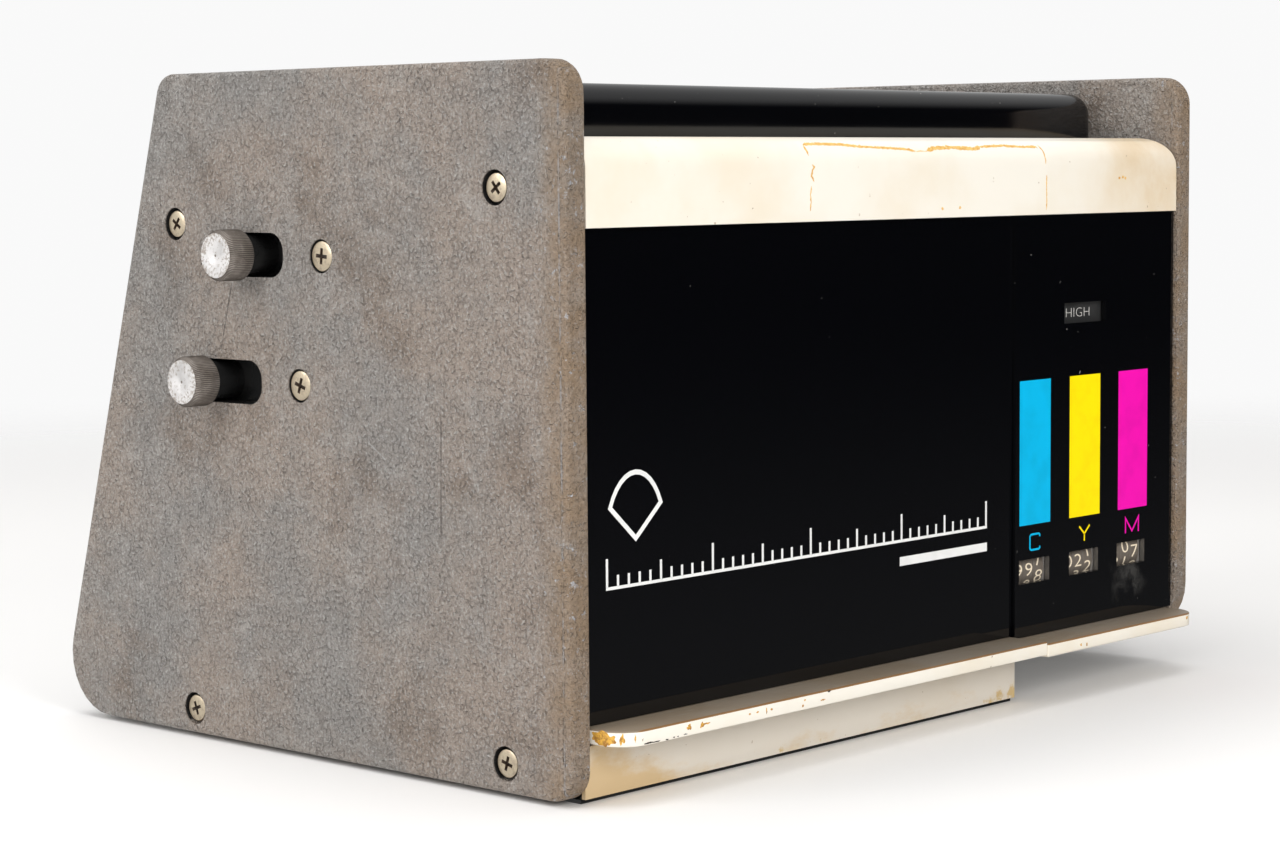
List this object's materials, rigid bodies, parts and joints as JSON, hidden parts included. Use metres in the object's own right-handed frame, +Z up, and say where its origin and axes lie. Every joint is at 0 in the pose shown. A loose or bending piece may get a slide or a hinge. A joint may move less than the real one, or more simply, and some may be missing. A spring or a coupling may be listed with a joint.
{
  "type": "dichroic colour enlarger head",
  "caption": "Colour head of a photographic enlarger: lamp, sliding dichroic filters, mixing chamber and controls in a box between two sloping cheeks.",
  "frame": {"origin": "middle of the bounding box's foot, on the surface the head stands on", "axes": "+X across the head from the lever cheek to the dial cheek, +Y from the front panel to the back, +Z up"},
  "size_m": [0.3688, 0.254, 0.22],
  "materials": {
    "crackle_paint": "grey-taupe crackle paint, chipped along its edges",
    "cream_enamel": "cream enamel, satin, yellowed and stained",
    "black_glass": "deep black gloss",
    "black_enamel": "gloss black enamel",
    "black_sheet": "semi-matt black",
    "black_plastic": "moulded, semi-matt",
    "zinc_sheet": "zinc-plated sheet",
    "turned_aluminium": "turned and knurled, worn bright",
    "nickel_screw": "nickel plated, dulled",
    "white_foam": "white rigid foam",
    "opal_sheet": "opal acrylic",
    "lamp_glass": "clear glass",
    "ceramic": "unglazed ceramic",
    "filter_cyan": "dichroic coating",
    "filter_yellow": "dichroic coating",
    "filter_magenta": "dichroic coating"
  },
  "bodies": {
    "housing": {"left_cheek": "crackle_paint", "right_cheek": "crackle_paint", "cheek_screw_top_rear": "nickel_screw", "cheek_screw_top_front": "nickel_screw", "cheek_screw_low_rear": "nickel_screw", "cheek_screw_low_front": "nickel_screw", "guide_screw_upper": "nickel_screw", "guide_screw_lower": "nickel_screw", "base_plate": "black_sheet", "front_panel_left": "black_glass", "front_panel_right": "black_glass", "top_trim": "cream_enamel", "ledge_left": "cream_enamel", "ledge_right": "cream_enamel", "skirt": "cream_enamel", "bulkhead": "zinc_sheet", "module_floor": "zinc_sheet", "rear_floor": "zinc_sheet", "mixing_chamber": "white_foam", "diffuser": "opal_sheet", "filter_guide": "zinc_sheet", "lamp_bracket": "zinc_sheet", "heat_glass": "lamp_glass", "lamp": "lamp_glass", "lamp_socket": "ceramic", "screw_bracket": "zinc_sheet", "counter_frame": "zinc_sheet", "counter_axle": "nickel_screw", "rear_cover": "black_sheet", "fan_housing": "black_plastic", "power_inlet": "black_plastic"},
    "hood": {"hood": "black_enamel"},
    "white_light_lever": {"white_light_slide": "black_sheet", "white_light_knob": "turned_aluminium"},
    "attenuator_lever": {"attenuator_slide": "black_sheet", "attenuator_knob": "turned_aluminium"},
    "legend": {"legend_flag": "black_plastic"},
    "fan": {"fan_rotor": "black_plastic"},
    "dial_cyan": {"filter_knob_cyan": "black_plastic", "lead_screw_cyan": "zinc_sheet"},
    "filter_cyan": {"filter_carrier_cyan": "zinc_sheet", "filter_glass_cyan": "filter_cyan"},
    "wheel_cyan_hundreds": {"wheel_cyan_hundreds": "black_plastic"},
    "wheel_cyan_tens": {"wheel_cyan_tens": "black_plastic"},
    "wheel_cyan_units": {"wheel_cyan_units": "black_plastic"},
    "dial_yellow": {"filter_knob_yellow": "black_plastic", "lead_screw_yellow": "zinc_sheet"},
    "filter_yellow": {"filter_carrier_yellow": "zinc_sheet", "filter_glass_yellow": "filter_yellow"},
    "wheel_yellow_hundreds": {"wheel_yellow_hundreds": "black_plastic"},
    "wheel_yellow_tens": {"wheel_yellow_tens": "black_plastic"},
    "wheel_yellow_units": {"wheel_yellow_units": "black_plastic"},
    "dial_magenta": {"filter_knob_magenta": "black_plastic", "lead_screw_magenta": "zinc_sheet"},
    "filter_magenta": {"filter_carrier_magenta": "zinc_sheet", "filter_glass_magenta": "filter_magenta"},
    "wheel_magenta_hundreds": {"wheel_magenta_hundreds": "black_plastic"},
    "wheel_magenta_tens": {"wheel_magenta_tens": "black_plastic"},
    "wheel_magenta_units": {"wheel_magenta_units": "black_plastic"}
  },
  "joints": [
    {"name": "hood_lift", "type": "slide", "parent": "housing", "child": "hood", "axis": [0, 0, 1], "range_m": [0, 0.06]},
    {"name": "white_light_slide_joint", "type": "slide", "parent": "housing", "child": "white_light_lever", "axis": [0, -1, 0], "range_m": [0, 0.0115]},
    {"name": "attenuator_slide_joint", "type": "slide", "parent": "housing", "child": "attenuator_lever", "axis": [0, -1, 0], "range_m": [0, 0.0155]},
    {"name": "legend_rise", "type": "slide", "parent": "housing", "child": "legend", "axis": [0, 0, 1], "range_m": [0, 0.00775]},
    {"name": "fan_spin", "type": "hinge", "parent": "housing", "child": "fan", "pos_m": [0.10583, 0.10163, 0.09065], "axis": [0, 0.9622, 0.2725], "continuous": true},
    {"name": "filter_cyan_slide", "type": "slide", "parent": "housing", "child": "filter_cyan", "axis": [-1, 0, 0], "range_m": [0, 0.04657]},
    {"name": "dial_cyan_turn", "type": "hinge", "parent": "housing", "child": "dial_cyan", "pos_m": [0.16442, -0.06215, 0.1262], "axis": [-1, 0, 0], "range_deg": [-0.05, 7290.05]},
    {"name": "wheel_cyan_hundreds_turn", "type": "hinge", "parent": "housing", "child": "wheel_cyan_hundreds", "pos_m": [0.06012, -0.10045, 0.0455], "axis": [-1, 0, 0], "range_deg": [-0.05, 72.95]},
    {"name": "wheel_cyan_tens_turn", "type": "hinge", "parent": "housing", "child": "wheel_cyan_tens", "pos_m": [0.06632, -0.10045, 0.0455], "axis": [-1, 0, 0], "range_deg": [-0.05, 729.05]},
    {"name": "wheel_cyan_units_turn", "type": "hinge", "parent": "housing", "child": "wheel_cyan_units", "pos_m": [0.07253, -0.10045, 0.0455], "axis": [-1, 0, 0], "range_deg": [-0.05, 7290.05]},
    {"name": "filter_yellow_slide", "type": "slide", "parent": "housing", "child": "filter_yellow", "axis": [-1, 0, 0], "range_m": [-0.00494, 0.04106]},
    {"name": "dial_yellow_turn", "type": "hinge", "parent": "housing", "child": "dial_yellow", "pos_m": [0.16442, -0.02215, 0.1262], "axis": [-1, 0, 0], "range_deg": [-774.05, 6426.05]},
    {"name": "wheel_yellow_hundreds_turn", "type": "hinge", "parent": "housing", "child": "wheel_yellow_hundreds", "pos_m": [0.09112, -0.10045, 0.0455], "axis": [-1, 0, 0], "range_deg": [-7.79, 64.31]},
    {"name": "wheel_yellow_tens_turn", "type": "hinge", "parent": "housing", "child": "wheel_yellow_tens", "pos_m": [0.09732, -0.10045, 0.0455], "axis": [-1, 0, 0], "range_deg": [-77.45, 642.65]},
    {"name": "wheel_yellow_units_turn", "type": "hinge", "parent": "housing", "child": "wheel_yellow_units", "pos_m": [0.10353, -0.10045, 0.0455], "axis": [-1, 0, 0], "range_deg": [-774.05, 6426.05]},
    {"name": "filter_magenta_slide", "type": "slide", "parent": "housing", "child": "filter_magenta", "axis": [-1, 0, 0], "range_m": [-0.02461, 0.02139]},
    {"name": "dial_magenta_turn", "type": "hinge", "parent": "housing", "child": "dial_magenta", "pos_m": [0.16442, 0.01785, 0.1262], "axis": [-1, 0, 0], "range_deg": [-3852.05, 3348.05]},
    {"name": "wheel_magenta_hundreds_turn", "type": "hinge", "parent": "housing", "child": "wheel_magenta_hundreds", "pos_m": [0.12193, -0.10045, 0.0455], "axis": [-1, 0, 0], "range_deg": [-38.57, 33.53]},
    {"name": "wheel_magenta_tens_turn", "type": "hinge", "parent": "housing", "child": "wheel_magenta_tens", "pos_m": [0.12812, -0.10045, 0.0455], "axis": [-1, 0, 0], "range_deg": [-385.25, 334.85]},
    {"name": "wheel_magenta_units_turn", "type": "hinge", "parent": "housing", "child": "wheel_magenta_units", "pos_m": [0.13432, -0.10045, 0.0455], "axis": [-1, 0, 0], "range_deg": [-3852.05, 3348.05]}
  ],
  "couplings": [
    {"joint": "legend_rise", "follows": "attenuator_slide_joint", "ratio": 0.5},
    {"joint": "dial_cyan_turn", "follows": "filter_cyan_slide", "rad_per_m": 2731.8},
    {"joint": "wheel_cyan_hundreds_turn", "follows": "filter_cyan_slide", "rad_per_m": 27.318},
    {"joint": "wheel_cyan_tens_turn", "follows": "filter_cyan_slide", "rad_per_m": 273.18},
    {"joint": "wheel_cyan_units_turn", "follows": "filter_cyan_slide", "rad_per_m": 2731.8},
    {"joint": "dial_yellow_turn", "follows": "filter_yellow_slide", "rad_per_m": 2731.8},
    {"joint": "wheel_yellow_hundreds_turn", "follows": "filter_yellow_slide", "rad_per_m": 27.318},
    {"joint": "wheel_yellow_tens_turn", "follows": "filter_yellow_slide", "rad_per_m": 273.18},
    {"joint": "wheel_yellow_units_turn", "follows": "filter_yellow_slide", "rad_per_m": 2731.8},
    {"joint": "dial_magenta_turn", "follows": "filter_magenta_slide", "rad_per_m": 2731.8},
    {"joint": "wheel_magenta_hundreds_turn", "follows": "filter_magenta_slide", "rad_per_m": 27.318},
    {"joint": "wheel_magenta_tens_turn", "follows": "filter_magenta_slide", "rad_per_m": 273.18},
    {"joint": "wheel_magenta_units_turn", "follows": "filter_magenta_slide", "rad_per_m": 2731.8}
  ]
}
